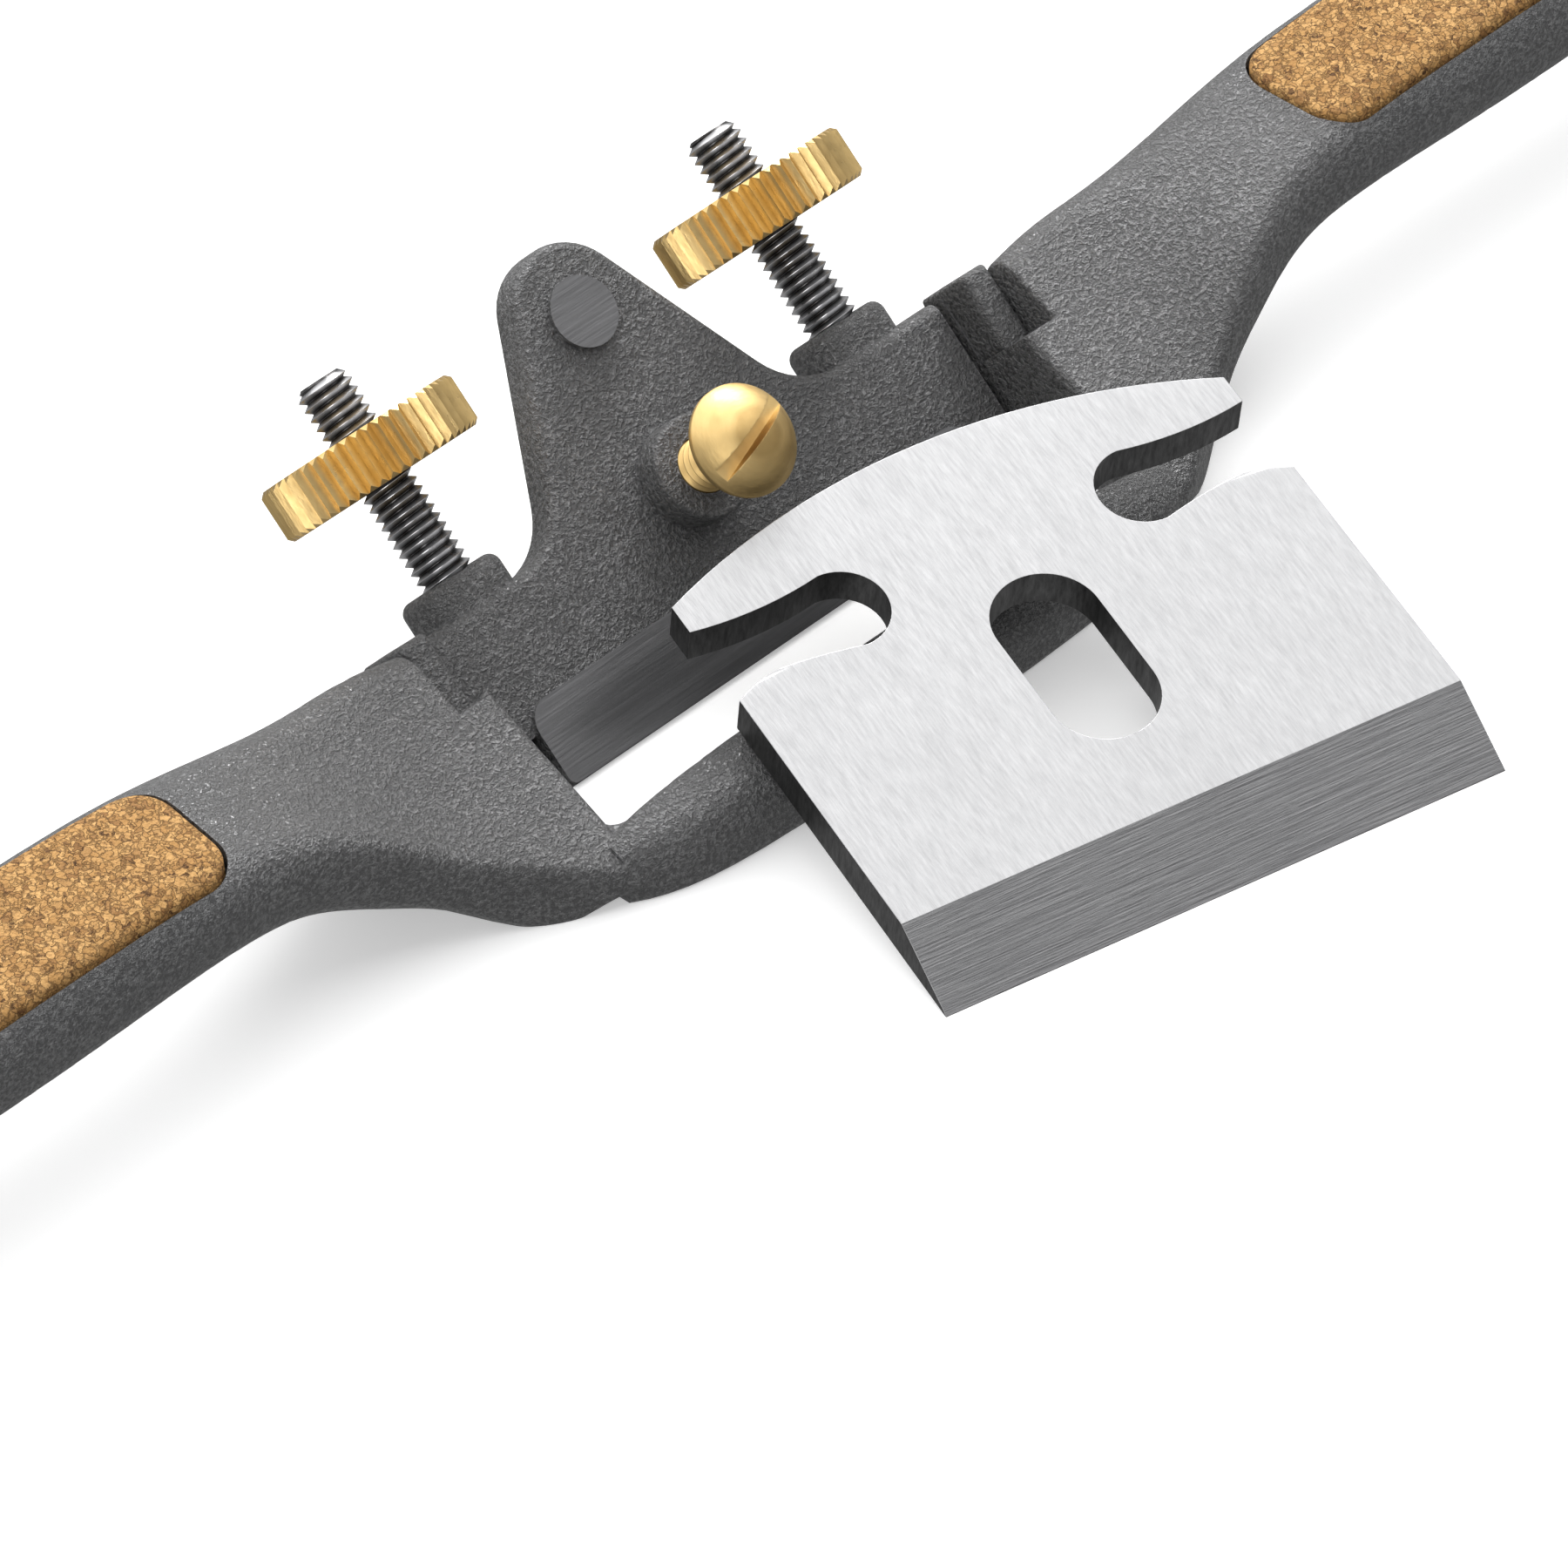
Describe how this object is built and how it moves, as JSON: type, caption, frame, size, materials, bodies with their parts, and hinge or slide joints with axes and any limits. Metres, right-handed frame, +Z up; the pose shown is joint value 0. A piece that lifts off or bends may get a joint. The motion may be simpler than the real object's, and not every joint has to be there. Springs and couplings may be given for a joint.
{
  "type": "spokeshave",
  "caption": "Flat-soled cast-metal spokeshave with cork-faced handles, knurled depth nuts on threaded studs, a slotted cap screw, and its notched blade leaning on the toe.",
  "frame": {"origin": "middle of the flat sole under the toe bar, on the bench", "axes": "+X along the right handle, +Y from the toe to the back of the bed, +Z up"},
  "size_m": [0.254, 0.0907, 0.0282],
  "materials": {
    "casting": "satin grey enamel with a fine cast texture",
    "cork": "agglomerated cork, matt",
    "stud": "plain steel thread",
    "nut": "bright turned brass with a knurled rim",
    "screw": "satin brass",
    "blade": "ground along its length, bevel ground across"
  },
  "bodies": {
    "shave": {"body_casting": "casting", "left_cork_inlay": "cork", "right_cork_inlay": "cork", "left_stud": "stud", "right_stud": "stud"},
    "left_nut": {"left_adjusting_nut": "nut"},
    "right_nut": {"right_adjusting_nut": "nut"},
    "cap_screw": {"cap_screw": "screw"},
    "blade": {"blade": "blade"}
  },
  "joints": [
    {"name": "left_nut_travel", "type": "slide", "parent": "shave", "child": "left_nut", "axis": [0, 0.7071, 0.7071], "range_m": [-0.008, 0.0052]},
    {"name": "right_nut_travel", "type": "slide", "parent": "shave", "child": "right_nut", "axis": [0, 0.7071, 0.7071], "range_m": [-0.008, 0.0052]},
    {"name": "cap_screw_travel", "type": "slide", "parent": "shave", "child": "cap_screw", "axis": [0, -0.7071, 0.7071], "range_m": [-0.0067, 0.005]},
    {"name": "blade_lift", "type": "slide", "parent": "shave", "child": "blade", "axis": [0, 0, 1], "range_m": [0, 0.06]}
  ]
}
